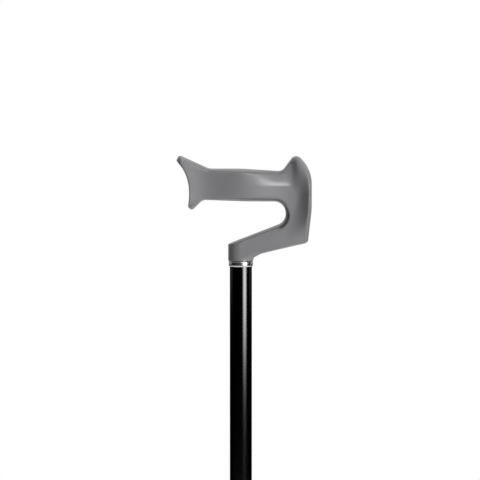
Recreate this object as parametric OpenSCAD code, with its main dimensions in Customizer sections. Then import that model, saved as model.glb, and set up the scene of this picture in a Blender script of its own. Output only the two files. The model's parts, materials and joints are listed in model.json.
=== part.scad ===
// Four-footed walking cane: a moulded handle on a telescopic shaft, which turns in a four-legged base.
// Z is up from the floor, X runs from the heel of the hand to the finger guard. Sizes in millimetres.

/* [Shaft] */
// Outside diameter of the upper tube
upper_tube_d = 22.2; // [18:0.1:28]
// Length of the upper tube
upper_tube_l = 487; // [400:1:620]
// Wall of both tubes
tube_wall = 1.2; // [0.9:0.05:1.6]
// Radial gap between the two tubes
slide_gap = 0.4; // [0.3:0.05:0.8]
// Number of height settings
hole_count = 7; // [3:2:9]
// Distance from one setting to the next
hole_pitch = 25; // [20:1:32]
// Height of the lowest hole above the upper tube's end
first_hole = 36; // [30:1:50]
// How far the lower tube reaches above the snap button
button_cover = 45; // [30:1:60]
// Room between the base and the lock nut at the lowest setting
low_gap = 14; // [4:1:60]

/* [Snap button] */
// Diameter of the button
button_d = 7.8; // [6:0.1:9]
// How far the button stands out of the upper tube
button_proud = 2.2; // [1:0.1:3]
// Width of the button's spring strip
spring_w = 5; // [4:0.5:6]
// Thickness of the spring strip
spring_t = 0.5; // [0.3:0.1:0.8]
// Length of the spring's legs
spring_l = 38; // [25:1:50]

/* [Lock nut] */
// Wall of the lock nut outside its thread
nut_wall = 2.45; // [2.2:0.05:6]
// Height of the lock nut
nut_h = 38; // [30:1:46]
// Thread wall of the collet sleeve around the upper tube
sleeve_wall = 1.9; // [1.5:0.1:2.4]
// Length of the upper tube's end inside the collet sleeve
sleeve_grip = 22; // [16:1:30]
// Length of the collet's fingers below the upper tube
finger_l = 22; // [18:1:26]
// Number of flutes around the nut
flute_count = 20; // [12:1:28]

/* [Handle] */
// Length of the upper tube inside the handle
socket_depth = 11; // [9:0.5:12]
// Wall of the handle's collar around the tube
collar_wall = 1.6; // [1.2:0.1:2.4]
// Height of the collar on its free side
collar_h = 16.8; // [15:0.1:22]
// Slope of the arm's upper face
arm_slope = 21.4; // [16:0.2:24]
// Slope of the arm's underside
underarm_slope = 13; // [8:0.2:16]
// Distance of the finger gap's round end from the shaft's axis
gap_end_x = 44.8; // [38:0.2:50]
// Radius of the finger gap's round end
gap_end_r = 11.5; // [7:0.1:12]
// Height of the grip's underside
grip_floor = 60; // [56:0.2:72]
// Height of the grip from its underside to its top
grip_h = 32; // [28:0.2:38]
// Distance of the guard's outer face from the shaft's axis
guard_x = 70.9; // [64:0.1:80]
// Height of the guard's top
guard_top = 105.2; // [98:0.2:120]
// Half of the guard's width
guard_half = 24; // [20:0.5:30]
// Distance of the tail's lower tip from the shaft's axis
tail_low_x = 52.8; // [46:0.2:64]
// Distance of the tail's upper tip from the shaft's axis
tail_high_x = 64.4; // [56:0.2:76]
// Height of the tail's upper tip
tail_top = 105; // [98:0.2:120]
// Height of the tail's lower tip
tail_floor = 51.8; // [46:0.2:60]
// Half thickness of the grip's waist beside the tail
waist_half = 12.6; // [10:0.2:16]
// Half thickness of the grip's belly
belly_half = 18.2; // [14:0.2:22]
// Half thickness of the grip beside the guard
throat_half = 13.8; // [11:0.2:18]
// Half thickness of the tail's end
tail_half = 16.5; // [14:0.5:26]
// Thickness of the metal core inside the handle, seen from the side
core_t = 7; // [5:0.5:8]
// Width of the metal core across the handle
core_w = 12; // [8:0.5:14]
// Length of the core's plug in the upper tube, below the handle
plug_l = 55; // [35:1:80]

/* [Collar ring] */
// Height of the chrome ring
ring_h = 6; // [5:0.2:10]
// Wall of the chrome ring
ring_wall = 1.05; // [0.8:0.05:2]
// Gap between the ring and the handle
ring_gap = 0.4; // [0.2:0.1:1]
// Diameter of the pin that the ring hides
pin_d = 4; // [3:0.1:4.4]

/* [Base] */
// Distance of the feet from the shaft, forwards and backwards
foot_x = 88; // [82:1:120]
// Height of the bows' axis in the hub
bow_z = 92; // [84:1:120]
// Outside diameter of the leg tubes
leg_d = 14; // [11:0.5:17]
// Wall of the leg tubes
leg_wall = 1.5; // [1:0.1:2]
// Bend radius of the leg tubes
bend_r = 28; // [24:1:34]
// Angle at which the long outer legs leave the hub
outer_angle = 62; // [50:1:68]
// Angle at which the short inner legs leave the hub
inner_angle = 40; // [30:1:50]
// Slope of the legs before they turn down
leg_drop = 18; // [8:1:24]

/* [Hub] */
// Length of the hub block
hub_l = 60; // [54:1:70]
// Wall around the leg tubes
hub_wall = 5; // [4:0.5:8]
// Web between the two leg tubes
hub_web = 12; // [11:0.5:16]
// Wall of the socket around the lower tube
socket_wall = 6; // [4.5:0.5:8]
// Length of the lower tube in its socket
socket_l = 42; // [34:1:56]
// Width of the socket's clamping slot
slot_w = 2.4; // [1.5:0.1:4]
// Diameter of the base's screws
screw_d = 5; // [4:0.5:5.5]

/* [Feet] */
// Diameter of a ferrule on the floor
ferrule_d = 30; // [26:1:38]
// Height of a ferrule
ferrule_h = 34; // [28:1:42]
// Rubber under the leg's steel washer
sole_t = 6.5; // [5:0.5:9]
// Thickness of the steel washer in a ferrule
washer_t = 1.5; // [1:0.1:2.5]

/* [Hidden] */
$fn = 96;

// Fits and small allowances
run_fit = 0.05;      // radial clearance of a part that turns or slides in another
seat_fit = 0.05;     // radial clearance of a part that is fixed in another
mould_fit = 0.1;     // room around the core in the handle
stand_off = 0.3;     // gap between parts that pass each other
bend_swell = 0.04;   // how much thicker a tube's bend is than its straight lengths, on the radius
bend_lap = 0.05;     // how far a straight length reaches into a bend
past = 1;            // how far a cutter runs past the face it cuts
black = [0.09, 0.09, 0.1];
steel = [0.72, 0.73, 0.75];

// Tubes
upper_r = upper_tube_d / 2;
upper_bore_r = upper_r - tube_wall;
lower_r = upper_bore_r - slide_gap;
lower_bore_r = lower_r - tube_wall;

// Heights of the base
leg_r = leg_d / 2;
hub_half_h = leg_r + hub_wall;
disc_t = 2;
tube_foot_z = bow_z + hub_half_h + disc_t;
hub_top_z = tube_foot_z + socket_l;

// Heights of the shaft at its middle setting
travel = (hole_count - 1) * hole_pitch;
nut_drop = finger_l + 3;
upper_foot_z = hub_top_z + low_gap + travel / 2 + nut_drop;
button_z = upper_foot_z + first_hole + travel / 2;
lower_top_z = button_z + button_cover;
handle_z = upper_foot_z + upper_tube_l - socket_depth;

// Plan of the legs: the first bend turns and lowers the tube, the second one turns it to the floor
bow_half = hub_l / 2 + 3;
bow_y = leg_r + hub_web / 2;
leg_end_z = sole_t + washer_t;
function first_bend(turn) = acos(cos(turn) * cos(leg_drop));
function bend_tilt(turn) = atan2(sin(leg_drop), sin(turn) * cos(leg_drop));
second_out = bend_r * (1 - sin(leg_drop));
function leg_run(turn) =
    (foot_x - bow_half - bend_r * sin(first_bend(turn)) - second_out * cos(turn))
    / (cos(turn) * cos(leg_drop));
function foot_y(turn) =
    bow_y + bend_r * (1 - cos(first_bend(turn))) * cos(bend_tilt(turn))
    + leg_run(turn) * sin(turn) * cos(leg_drop) + second_out * sin(turn);
function leg_down(turn) =
    bow_z - bend_r * (1 - cos(first_bend(turn))) * sin(bend_tilt(turn))
    - leg_run(turn) * sin(leg_drop) - bend_r * cos(leg_drop) - leg_end_z;
outer_y = foot_y(outer_angle);
inner_y = foot_y(inner_angle);

// The shaft stands off the middle of the base, because the outer legs are longer
shaft_y = (outer_y - inner_y) / 2;

// ---- small shapes -------------------------------------------------------------------------------

module on_shaft(z = 0) {
    translate([0, shaft_y, z]) children();
}

module pipe(r, bore, h) {
    difference() {
        cylinder(r = r, h = h);
        translate([0, 0, -past]) cylinder(r = bore, h = h + 2 * past);
    }
}

module rounded_block(size, r) {
    cube([size.x - 2 * r, size.y, size.z], center = true);
    cube([size.x, size.y - 2 * r, size.z], center = true);
    for (x = [-1, 1], y = [-1, 1])
        translate([x * (size.x / 2 - r), y * (size.y / 2 - r), -size.z / 2])
            cylinder(r = r, h = size.z);
}

// A cylinder along Y from the axis outwards
module radial(r, from, to) {
    translate([0, from, 0]) rotate([-90, 0, 0]) cylinder(r = r, h = to - from);
}

// ---- handle -------------------------------------------------------------------------------------

collar_r = upper_r + collar_wall;
grip_top = grip_floor + grip_h;
grip_mid = grip_floor + grip_h / 2;
arm_half = 13.4;
underarm_z = 6;
elbow_x = collar_r + 7.8;

function unit(v) = v / norm(v);
function along(a, slope, x) = a + x * tan(slope);
function ease(t) = let (c = min(max(t, 0), 1)) c * c * (3 - 2 * c);
function mix(a, b, t) = a + (b - a) * t;

// Points of the arc that rounds corner b between a and c, for corners given as [x, z, radius]
arc_steps = 10;
function corner_arc(a, b, c) =
    let (
        p = [b.x, b.y], u = unit([a.x, a.y] - p), w = unit([c.x, c.y] - p),
        half = acos(u * w) / 2, centre = p + unit(u + w) * b.z / sin(half),
        start = p + u * b.z / tan(half) - centre,
        turn = sign(cross(u, w)) * (2 * half - 180), from = atan2(start.y, start.x)
    )
    [for (i = [0 : arc_steps]) let (at = from + turn * i / arc_steps) centre + b.z * [cos(at), sin(at)]];
function rail(corners) = [
    [corners[0].x, corners[0].y],
    for (i = [1 : len(corners) - 2]) each corner_arc(corners[i - 1], corners[i], corners[i + 1]),
    [corners[len(corners) - 1].x, corners[len(corners) - 1].y]
];
// Distances along a rail, and the rail as [fraction of its length, coordinate] pairs
function step(p, i) = i < len(p) ? norm(p[i] - p[i - 1]) : 0;
function rail_steps(p) = [for (i = 0, s = 0; i < len(p); i = i + 1, s = s + step(p, i)) s];
function rail_table(p, axis) =
    let (s = rail_steps(p), whole = s[len(p) - 1])
    [for (i = [0 : len(p) - 1]) [s[i] / whole, p[i][axis]]];

// The inner rail runs up the collar, along the arm, round the finger gap and under the grip
inner_rail = rail([
    [-collar_r, 0, 0],
    [-collar_r, collar_h, 0.8],
    [gap_end_x, along(collar_h, arm_slope, gap_end_x + collar_r), gap_end_r],
    [gap_end_x, grip_floor - 0.3, gap_end_r],
    [6, grip_floor, 200],
    [6 - tail_low_x + 8.6, grip_floor + 1.4, 9],
    [3.6 - tail_low_x, tail_floor - 1.2, 2.6],
    [-tail_low_x, tail_floor + 2.5, 0]
]);
// The outer rail runs under the arm, up the guard, over its top and along the grip to the tail
guard_arc_r = 36.3;
guard_turn = 46.9;
guard_bend_z = guard_top - 28.3;
guard_low_z = grip_floor - 8;
heel_in = 3.8;
heel_h = 30;
lobe_x = guard_x - 16.5;
lobe_z = guard_top + 2.9;
outer_rail = rail([
    [collar_r, 0, 0],
    [collar_r, underarm_z - 2.6, 3],
    [elbow_x, along(underarm_z, underarm_slope, elbow_x - collar_r), 25],
    [guard_x - heel_in, along(underarm_z, underarm_slope, guard_x - heel_in - collar_r), 4.6],
    [guard_x, guard_low_z, 80],
    [guard_x, guard_bend_z + guard_arc_r * tan(guard_turn / 2), guard_arc_r],
    [lobe_x, lobe_z, 6],
    [lobe_x - 13.2, grip_top - 1.9, 8],
    [0, grip_top + 0.5, 260],
    [-31.6, grip_top + 0.6, 14],
    [2.6 - tail_high_x, tail_top + 1.2, 2.4],
    [-tail_high_x, tail_top - 4, 0]
]);
inner_x = rail_table(inner_rail, 0);
inner_z = rail_table(inner_rail, 1);
outer_x = rail_table(outer_rail, 0);
outer_z = rail_table(outer_rail, 1);

// Where a station along the handle, from 0 to 1, meets each rail
inner_ties = [
    [0, 0], [0.07, 0.087], [0.09, 0.093], [0.24, 0.36], [0.34, 0.4], [0.42, 0.44],
    [0.48, 0.465], [0.57, 0.5], [0.63, 0.515], [0.68, 0.535], [0.85, 0.884], [0.93, 0.962], [1, 1]
];
outer_ties = [
    [0, 0], [0.07, 0.03], [0.09, 0.036], [0.24, 0.15], [0.34, 0.22], [0.42, 0.33],
    [0.48, 0.406], [0.57, 0.513], [0.63, 0.56], [0.68, 0.62], [0.85, 0.872], [0.93, 0.972], [1, 1]
];
// Radius that rounds the section towards each rail, by station
inner_round = [
    [0, 0.6], [0.08, 0.6], [0.14, 1.5], [0.26, 2.5], [0.42, 3.5], [0.55, 5], [0.68, 6], [0.87, 5], [1, 5]
];
outer_round = [
    [0, 0.6], [0.08, 2], [0.26, 3], [0.34, 3], [0.4, 4], [0.57, 4.5], [0.61, 5], [0.7, 4], [0.87, 3], [1, 3]
];

// Half thickness of the handle at a point of its side view
belly_x = 3;
waist_x = -35;
throat_x = 48;
function grip_half(x) =
    x < waist_x ? mix(waist_half, tail_half, ease((waist_x - x) / (tail_high_x + waist_x))) :
    x < belly_x ? mix(waist_half, belly_half, ease((x - waist_x) / (belly_x - waist_x))) :
    mix(belly_half, throat_half, ease((x - belly_x) / (throat_x - belly_x)));
// Above a faint ridge the grip's side leans in, from the palm swell to the guard
ridge_z = 76;
ridge_slope = 10;
ridge_curve = 0.02;
function lean(x, z) =
    let (above = max(z - ridge_z, 0) * ease((x + 4) / 40) * ease((62 - x) / 12))
    above * tan(ridge_slope) + ridge_curve * above * above;
// The collar is round at its foot; its plan stretches with height until it runs into the arm
fair_h = 14;
collar_stretch = 5;
function arm_half_at(x, z) =
    let (
        run = ease(z / fair_h),
        reach = collar_r * (x > 0 ? 1 + collar_stretch * run * run : 1),
        collar = collar_r * sqrt(max(1 - pow(x / reach, 2), 0))
    )
    x < 0 ? collar : mix(collar, mix(collar_r, arm_half, ease(x / throat_x)), run);
// The guard's outer face and the half width of its rim, by height
function guard_face(z) =
    z > guard_bend_z ?
        guard_x - guard_arc_r + sqrt(max(guard_arc_r * guard_arc_r - pow(z - guard_bend_z, 2), 0)) :
        guard_x - heel_in * pow(max(guard_low_z - z, 0) / heel_h, 1.3);
guard_mid = 62;
guard_reach = 42.5;
guard_flare = 12;
guard_rim_t = 4;
lobe_foot = 69;
lobe_spread = 0.8;  // the flare widens towards the guard's top
heel_spread = 0.3;  // and a little towards its heel
rim_soft = 2.2;     // softness of the line where the rim ends
function guard_rim(z) = guard_half - (guard_half - 12) * pow((z - guard_mid) / guard_reach, 2);
function flank(x, z) =
    let (
        body = mix(arm_half_at(x, z), grip_half(x) - lean(x, z), ease((z - 38) / 24)),
        past_rim = guard_face(z) - x - guard_rim_t,
        away = (past_rim + sqrt(past_rim * past_rim + rim_soft * rim_soft)) / 2,
        flare = guard_flare + lobe_spread * max(z - lobe_foot, 0) + heel_spread * max(guard_mid - z, 0),
        near = 1 - away / flare
    )
    mix(body, max(guard_rim(z), body), pow(max(near, 0), 2));
function round_off(d, r) = d >= r ? 1 : sqrt(max(1 - pow(1 - d / r, 2), 0));

// One ring of the handle: from the inner rail to the outer one on one side, and back on the other
ring_points = 14;
tail_bow = 6.3;
function station(t) =
    let (
        a = [lookup(lookup(t, inner_ties), inner_x), lookup(lookup(t, inner_ties), inner_z)],
        b = [lookup(lookup(t, outer_ties), outer_x), lookup(lookup(t, outer_ties), outer_z)],
        span = norm(b - a), side = [b.y - a.y, a.x - b.x] / span,
        bow = tail_bow * ease((t - 0.83) / 0.17)
    )
    [for (i = [0 : ring_points])
        let (
            s = (1 - cos(180 * i / ring_points)) / 2,
            p = a + (b - a) * s + side * bow * 4 * s * (1 - s) * (0.8 + 0.4 * s),
            y = flank(p.x, p.y) * round_off(s * span, lookup(t, inner_round))
                * round_off((1 - s) * span, lookup(t, outer_round))
        )
        [p.x, y, p.y]];
function whole_ring(half) = [
    for (i = [0 : ring_points]) [half[i].x, -half[i].y, half[i].z],
    for (i = [ring_points - 1 : -1 : 1]) half[i]
];
station_count = 80;
module handle_shell() {
    n = 2 * ring_points;
    rings = [for (k = [0 : station_count]) whole_ring(station(k / station_count))];
    polyhedron(
        points = [for (ring = rings) each ring],
        faces = [
            for (k = [0 : station_count - 1], i = [0 : n - 1])
                let (a = k * n + i, b = k * n + (i + 1) % n)
                each [[a, b + n, b], [a, a + n, b + n]],
            [for (i = [0 : n - 1]) i],
            for (i = [0 : ring_points - 1])
                let (last = station_count * n, j = (n - i) % n, m = n - i - 1)
                each [[last + i, last + m, last + i + 1], if (j != i) [last + i, last + j, last + m]]
        ]
    );
}

// The core: a plug in the tube, and a bent bar through arm, guard and grip
core_bend = [(gap_end_x + guard_x) / 2 - 0.5, grip_mid];
core_start = [0, socket_depth + 3.6];
core_knee = [core_bend.x, along(core_start.y, underarm_slope, core_bend.x)];
core_end = [waist_x + 4, grip_mid];
module bar(a, b, r) {
    d = b - a;
    translate(a) rotate(atan2(d.y, d.x)) translate([0, -r]) square([norm(d), 2 * r]);
    translate(a) circle(r);
    translate(b) circle(r);
}
module core_shape(grow) {
    r = core_t / 2 + grow;
    rotate([90, 0, 0]) linear_extrude(height = core_w + 2 * grow, center = true) {
        bar(core_start, core_knee, r);
        bar(core_knee, core_bend, r);
        bar(core_bend, core_end, r);
    }
}
plug_r = upper_bore_r - seat_fit;
plug_top = socket_depth + 2;

module handle_grip() {
    color([0.5, 0.5, 0.52]) on_shaft(handle_z) difference() {
        handle_shell();
        translate([0, 0, -past]) cylinder(r = upper_r + seat_fit, h = socket_depth + past);
        translate([0, 0, -past]) cylinder(r = plug_r + mould_fit, h = plug_top + mould_fit + past);
        core_shape(mould_fit);
    }
}

pin_z = -ring_gap - ring_h / 2;
module handle_core() {
    color(steel) on_shaft(handle_z) difference() {
        union() {
            translate([0, 0, -plug_l]) cylinder(r = plug_r, h = plug_l + plug_top);
            core_shape(0);
        }
        translate([0, 0, pin_z]) radial(pin_d / 2 + seat_fit, -upper_r, upper_r);
    }
}

module core_pin() {
    color(steel) on_shaft(handle_z + pin_z) radial(pin_d / 2, 0.2 - upper_r, upper_r - 0.2);
}

module collar_ring() {
    edge = 0.6;
    r = upper_r + ring_wall;
    bore = upper_r + seat_fit;
    color([0.85, 0.86, 0.88]) on_shaft(handle_z - ring_gap - ring_h) rotate_extrude()
        polygon([
            [bore, 0], [r - edge, 0], [r - edge / 3, edge / 3], [r, edge],
            [r, ring_h - edge], [r - edge / 3, ring_h - edge / 3], [r - edge, ring_h], [bore, ring_h]
        ]);
}

// ---- shaft --------------------------------------------------------------------------------------

button_r = button_d / 2;
module upper_tube() {
    color(black) on_shaft(upper_foot_z) difference() {
        pipe(upper_r, upper_bore_r, upper_tube_l);
        for (i = [0 : hole_count - 1])
            translate([0, 0, first_hole + i * hole_pitch]) radial(button_r + stand_off, 0, upper_r + past);
        translate([0, 0, upper_tube_l - socket_depth + pin_z])
            radial(pin_d / 2 + seat_fit, -upper_r - past, upper_r + past);
    }
}

// The sleeve is fixed on the upper tube's end, and its slotted fingers close on the lower tube
thread_r = upper_r + sleeve_wall;
finger_r = lower_r + run_fit + 1.6;
cone_h = 9;
module collet_sleeve() {
    lip_h = 4;
    color([0.16, 0.16, 0.17]) on_shaft(upper_foot_z) difference() {
        union() {
            translate([0, 0, -finger_l]) cylinder(r1 = finger_r, r2 = thread_r, h = cone_h);
            translate([0, 0, cone_h - finger_l])
                cylinder(r = thread_r, h = finger_l - cone_h + sleeve_grip);
            translate([0, 0, sleeve_grip - lip_h]) cylinder(r = thread_r + 1, h = lip_h);
        }
        cylinder(r = upper_r + seat_fit, h = sleeve_grip + past);
        translate([0, 0, -finger_l - past]) cylinder(r = lower_r + run_fit, h = finger_l + 2 * past);
        for (turn = [45, 135]) rotate([0, 0, turn])
            translate([-thread_r - past, -0.6, -finger_l - past])
                cube([2 * (thread_r + past), 1.2, finger_l - 3 + past]);
    }
}

module lock_nut() {
    inner = thread_r + run_fit;
    r = inner + nut_wall;
    flute_r = 1.5;
    chamfer = 1.6;
    floor_t = 2.4;
    color([0.12, 0.12, 0.13]) on_shaft(upper_foot_z - nut_drop) difference() {
        union() {
            cylinder(r1 = r - chamfer, r2 = r, h = chamfer);
            translate([0, 0, chamfer]) cylinder(r = r, h = nut_h - 2 * chamfer);
            translate([0, 0, nut_h - chamfer]) cylinder(r1 = r, r2 = r - chamfer, h = chamfer);
        }
        translate([0, 0, -past]) cylinder(r = lower_r + slide_gap, h = nut_h);
        translate([0, 0, floor_t]) cylinder(r1 = finger_r + stand_off, r2 = inner, h = cone_h);
        translate([0, 0, floor_t + cone_h]) cylinder(r = inner, h = nut_h);
        for (i = [0 : flute_count - 1]) rotate([0, 0, 360 * i / flute_count])
            translate([r + 0.5, 0, 4]) cylinder(r = flute_r, h = nut_h - 8);
    }
}

module lower_tube() {
    color(black) on_shaft(tube_foot_z) difference() {
        pipe(lower_r, lower_bore_r, lower_top_z - tube_foot_z);
        translate([0, 0, button_z - tube_foot_z]) radial(button_r + 2 * run_fit, 0, lower_r + past);
    }
}

module top_bush() {
    plug = 12;
    head = 6;
    color([0.2, 0.2, 0.21]) on_shaft(lower_top_z) difference() {
        union() {
            translate([0, 0, -plug]) cylinder(r = lower_bore_r - seat_fit, h = plug + past);
            cylinder(r = upper_bore_r - run_fit, h = head);
        }
        translate([0, 0, -plug - past]) cylinder(r = lower_bore_r - 2, h = plug + head + 2 * past);
    }
}

// The button stands through both tubes. Its flange lies against the inside of the lower tube
flange_r = button_r + 1.1;
flange_t = 1.2;
flange_y = sqrt(pow(lower_bore_r - 0.4, 2) - flange_r * flange_r);
module snap_button() {
    dome = 1.4;
    tip = upper_r + button_proud;
    color(steel) on_shaft(button_z) {
        radial(flange_r, flange_y - flange_t, flange_y);
        radial(button_r, flange_y, tip - dome);
        translate([0, tip - dome, 0]) rotate([-90, 0, 0])
            cylinder(r1 = button_r, r2 = button_r - dome, h = dome);
    }
}

// A strip bent to a U: one leg under the button's flange, the other against the far wall
module snap_spring() {
    front = flange_y - flange_t;
    back = -sqrt(pow(lower_bore_r - 0.1, 2) - spring_w * spring_w / 4);
    bend = (front - back) / 2;
    color(steel) on_shaft(button_z) rotate([90, 0, 90]) linear_extrude(height = spring_w, center = true) {
        translate([front - spring_t, bend - spring_l]) square([spring_t, spring_l - bend + flange_r]);
        translate([back, bend - spring_l]) square([spring_t, spring_l - bend - flange_r]);
        translate([front - bend, bend - spring_l]) difference() {
            circle(bend);
            circle(bend - spring_t);
            translate([-bend - past, 0]) square([2 * (bend + past), bend + past]);
        }
    }
}

// A plug closes the lower tube's foot, and a disc carries it in the hub
module tube_plug() {
    plug = 14;
    color([0.2, 0.2, 0.21]) on_shaft(tube_foot_z) difference() {
        cylinder(r = lower_bore_r - seat_fit, h = plug);
        translate([0, 0, 3]) cylinder(r = lower_bore_r - 2.5, h = plug);
    }
}

module thrust_disc() {
    color([0.85, 0.84, 0.8]) on_shaft(tube_foot_z - disc_t) cylinder(r = lower_r - 0.2, h = disc_t);
}

// ---- base ---------------------------------------------------------------------------------------

block_w = 2 * (bow_y + leg_r + hub_wall);
corner_r = 7;
screw_x = hub_l / 2 - 7.5;
screw_r = screw_d / 2;
head_r = screw_r * 1.7;
head_h = 3.2;
nut_across = screw_d * 1.6;
hex_r = nut_across / sqrt(3);
hex_t = 4;
socket_r = lower_r + run_fit + socket_wall;

module at_hub_screws() {
    for (x = [-1, 1], y = [-1, 1]) translate([x * screw_x, y * bow_y, bow_z]) children();
}

module bow_channels() {
    for (y = [-1, 1]) translate([-hub_l, y * bow_y, bow_z]) rotate([0, 90, 0])
        cylinder(r = leg_r + seat_fit, h = 2 * hub_l);
}

// Place of the clamp screw across the socket's slot, on the side of the hand's heel
clamp_x = -socket_r - 4.5;
clamp_z = hub_top_z - 13;
lug_w = 6.5;
lug_r = 7;
clamp_half = lug_w + slot_w / 2;
module hub() {
    block_top = bow_z + hub_half_h;
    slot_l = socket_l - 8;
    color([0.15, 0.15, 0.16]) on_shaft() difference() {
        union() {
            translate([0, 0, bow_z + hub_half_h / 2]) rounded_block([hub_l, block_w, hub_half_h], corner_r);
            translate([0, 0, block_top]) cylinder(r1 = socket_r + 4, r2 = socket_r, h = 8);
            translate([0, 0, block_top]) cylinder(r = socket_r, h = hub_top_z - block_top);
            translate([clamp_x, 0, clamp_z]) radial(lug_r, -clamp_half, clamp_half);
            translate([clamp_x, -clamp_half, clamp_z - lug_r]) cube([-clamp_x, 2 * clamp_half, 2 * lug_r]);
        }
        bow_channels();
        translate([0, 0, block_top]) cylinder(r = lower_r + run_fit, h = disc_t + socket_l + past);
        translate([-2 * socket_r, -slot_w / 2, hub_top_z - slot_l])
            cube([2 * socket_r, slot_w, slot_l + past]);
        translate([clamp_x, 0, clamp_z]) radial(screw_r + seat_fit, -20, 20);
        at_hub_screws() cylinder(r = screw_r + seat_fit, h = hub_half_h + past);
    }
}

module hub_cover() {
    color([0.15, 0.15, 0.16]) on_shaft() difference() {
        translate([0, 0, bow_z - hub_half_h / 2]) rounded_block([hub_l, block_w, hub_half_h], corner_r);
        bow_channels();
        at_hub_screws() translate([0, 0, -hub_half_h - past]) {
            cylinder(r = screw_r + seat_fit, h = hub_half_h + 2 * past);
            cylinder(r = hex_r + 0.3, h = hex_t - 1 + past, $fn = 6);
        }
    }
}

// Screws run through the hub, the bows and the cover, and end in their nuts
module hub_screws() {
    color(steel) on_shaft() at_hub_screws() {
        translate([0, 0, -hub_half_h]) cylinder(r = screw_r, h = 2 * hub_half_h);
        translate([0, 0, hub_half_h]) difference() {
            cylinder(r = head_r, h = head_h);
            translate([0, 0, head_h - 1.8]) cylinder(r = screw_r, h = 2 * past + 1, $fn = 6);
        }
    }
}

module hex_nut(t) {
    difference() {
        cylinder(r = hex_r, h = t, $fn = 6);
        translate([0, 0, -past]) cylinder(r = screw_r + seat_fit, h = t + 2 * past);
    }
}

module hub_nuts() {
    color(steel) on_shaft() at_hub_screws() translate([0, 0, -hub_half_h - 1]) hex_nut(hex_t);
}

module clamp_screw() {
    color(steel) on_shaft() translate([clamp_x, 0, clamp_z]) {
        radial(screw_r, -clamp_half, clamp_half + hex_t + 1);
        translate([0, -clamp_half - screw_d, 0]) difference() {
            radial(head_r, 0, screw_d);
            rotate([-90, 0, 0]) translate([0, 0, -past]) cylinder(r = screw_r, h = 2.5 + past, $fn = 6);
        }
    }
}

module clamp_nut() {
    color(steel) on_shaft() translate([clamp_x, clamp_half, clamp_z]) rotate([-90, 0, 0]) hex_nut(hex_t);
}

// ---- legs ---------------------------------------------------------------------------------------

module elbow(r, angle) {
    translate([0, bend_r, 0]) rotate([0, 0, -90])
        rotate_extrude(angle = angle) translate([bend_r, 0]) circle(r);
}

// A straight length of tube. Its ends reach a little way into the bends, which are a hair thicker
module straight(r, l) {
    translate([-bend_lap, 0, 0]) rotate([0, 90, 0]) cylinder(r = r - bend_swell, h = l + 2 * bend_lap);
}

// Moves its children to the end of an elbow, heading the way the tube leaves it
module past_elbow(angle) {
    translate([bend_r * sin(angle), bend_r * (1 - cos(angle)), 0]) rotate([0, 0, angle]) children();
}

// Half of a bow, from the middle of the hub to one foot, bending towards -Y
module half_bow(r, turn, extra) {
    first = first_bend(turn);
    tilt = bend_tilt(turn);
    roll = atan2(cos(tilt), cos(first) * sin(tilt));
    straight(r, bow_half);
    translate([bow_half, 0, 0]) rotate([180 + tilt, 0, 0]) {
        elbow(r, first);
        past_elbow(first) {
            straight(r, leg_run(turn));
            translate([leg_run(turn), 0, 0]) rotate([roll, 0, 0]) {
                elbow(r, 90 - leg_drop);
                past_elbow(90 - leg_drop) straight(r, leg_down(turn) + extra - bend_lap);
            }
        }
    }
}

module whole_bow(r, turn, extra) {
    half_bow(r, turn, extra);
    mirror([1, 0, 0]) half_bow(r, turn, extra);
}

// A bow of leg tube with two feet. side is -1 for the outer bow and 1 for the inner one
module bow(turn, side) {
    color(black) on_shaft() translate([0, side * bow_y, bow_z]) mirror([0, side > 0 ? 1 : 0, 0])
        difference() {
            whole_bow(leg_r, turn, 0);
            whole_bow(leg_r - leg_wall, turn, past);
            for (x = [-1, 1]) translate([x * screw_x, 0, -leg_d])
                cylinder(r = screw_r + seat_fit, h = 2 * leg_d);
        }
}

module outer_bow() { bow(outer_angle, -1); }
module inner_bow() { bow(inner_angle, 1); }

module at_foot(x, y) {
    on_shaft() translate([x * foot_x, y < 0 ? -outer_y : inner_y, 0]) children();
}

// Rubber foot: a cup round the leg's end, with a wide ribbed sole
module ferrule(x, y) {
    bore = leg_r + seat_fit;
    sole_r = ferrule_d / 2;
    neck_r = leg_r + 3;
    tread = 1.5;
    color([0.11, 0.11, 0.11]) at_foot(x, y) difference() {
        rotate_extrude() polygon([
            [0, 0], [sole_r - 0.8, 0], [sole_r, 0.8], [sole_r, 4.5], [sole_r - 1.2, 6.5],
            [neck_r + 1.6, 12], [neck_r + 0.6, 16], [neck_r, ferrule_h - 4],
            [neck_r + 0.8, ferrule_h - 3], [neck_r + 0.8, ferrule_h - 0.8], [neck_r, ferrule_h],
            [bore, ferrule_h], [bore, sole_t], [0, sole_t]
        ]);
        for (r = [4.2 : 4.4 : sole_r - 3]) translate([0, 0, -past]) pipe(r + 1.1, r - 1.1, tread + past);
    }
}

module washer(x, y) {
    color(steel) at_foot(x, y) translate([0, 0, sole_t]) cylinder(r = leg_r - 0.1, h = washer_t);
}

module ferrule_outer_front() { ferrule(1, -1); }
module ferrule_outer_rear() { ferrule(-1, -1); }
module ferrule_inner_front() { ferrule(1, 1); }
module ferrule_inner_rear() { ferrule(-1, 1); }
module washer_outer_front() { washer(1, -1); }
module washer_outer_rear() { washer(-1, -1); }
module washer_inner_front() { washer(1, 1); }
module washer_inner_rear() { washer(-1, 1); }

handle_grip();
handle_core();
core_pin();
collar_ring();
upper_tube();
collet_sleeve();
lock_nut();
lower_tube();
top_bush();
snap_button();
snap_spring();
tube_plug();
thrust_disc();
hub();
hub_cover();
hub_screws();
hub_nuts();
clamp_screw();
clamp_nut();
outer_bow();
inner_bow();
ferrule_outer_front();
ferrule_outer_rear();
ferrule_inner_front();
ferrule_inner_rear();
washer_outer_front();
washer_outer_rear();
washer_inner_front();
washer_inner_rear();
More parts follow.
